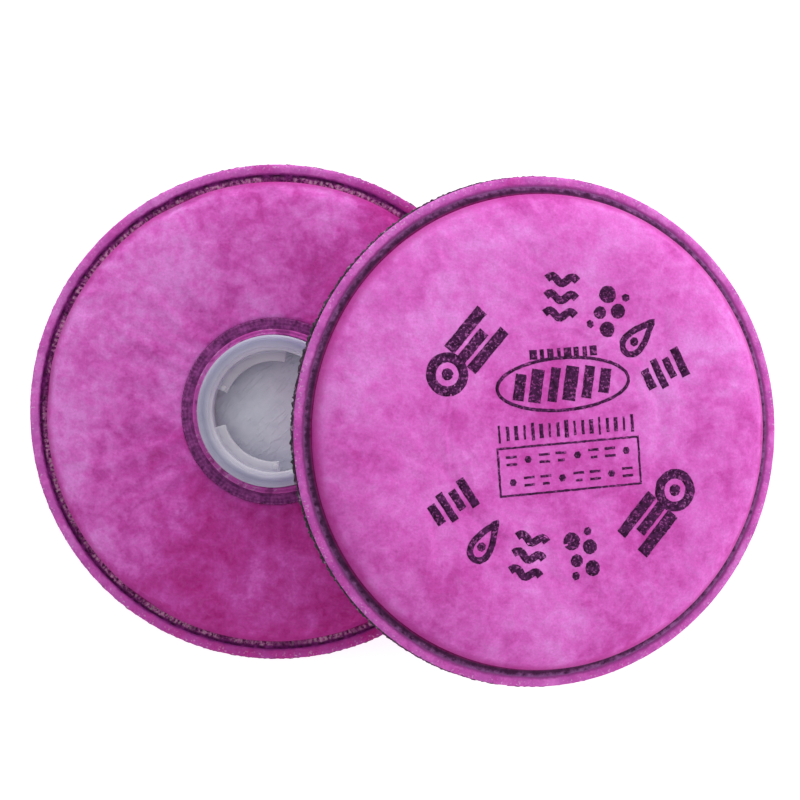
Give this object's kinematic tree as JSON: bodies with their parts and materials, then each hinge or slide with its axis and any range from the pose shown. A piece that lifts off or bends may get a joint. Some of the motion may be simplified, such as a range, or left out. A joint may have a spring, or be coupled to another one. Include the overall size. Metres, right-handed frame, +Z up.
{
  "type": "respirator filter pair",
  "caption": "Pair of round fibre disc filters for a respirator facepiece, each with a welded rim and a bayonet fitting on its rear; one lies flat and the other leans on it.",
  "frame": {"origin": "middle of the underside of the pair's bounding box, on the surface the lower filter lies on", "axes": "+Z up, along the lower filter's axis from its front face to its bayonet fitting; +X from the lower filter towards the low side of the leaning one"},
  "size_m": [0.1588, 0.105, 0.0362],
  "materials": {
    "cover_web": "matt point-bonded nonwoven with a cloudy, uneven dye",
    "filter_web": "matt white fibre media",
    "carbon_web": "matt charcoal-loaded nonwoven",
    "spacer_web": "matt open nonwoven, pale grey lilac",
    "weld": "fused nonwoven, dark and slightly glossy",
    "bayonet_plastic": "satin translucent polypropylene"
  },
  "bodies": {
    "lower_filter": {"lower_front_cover_web": "cover_web", "lower_front_filter_web": "filter_web", "lower_front_carbon_web": "carbon_web", "lower_spacer_web": "spacer_web", "lower_rear_carbon_web": "carbon_web", "lower_rear_filter_web": "filter_web", "lower_rear_cover_web": "cover_web", "lower_perimeter_weld": "weld", "lower_collar_weld": "weld", "lower_bayonet_fitting": "bayonet_plastic"},
    "upper_filter": {"upper_front_cover_web": "cover_web", "upper_front_filter_web": "filter_web", "upper_front_carbon_web": "carbon_web", "upper_spacer_web": "spacer_web", "upper_rear_carbon_web": "carbon_web", "upper_rear_filter_web": "filter_web", "upper_rear_cover_web": "cover_web", "upper_perimeter_weld": "weld", "upper_collar_weld": "weld", "upper_bayonet_fitting": "bayonet_plastic"}
  },
  "joints": [
    {"name": "upper_filter_lift", "type": "slide", "parent": "lower_filter", "child": "upper_filter", "axis": [0, 0, 1], "range_m": [0, 0.06]}
  ]
}
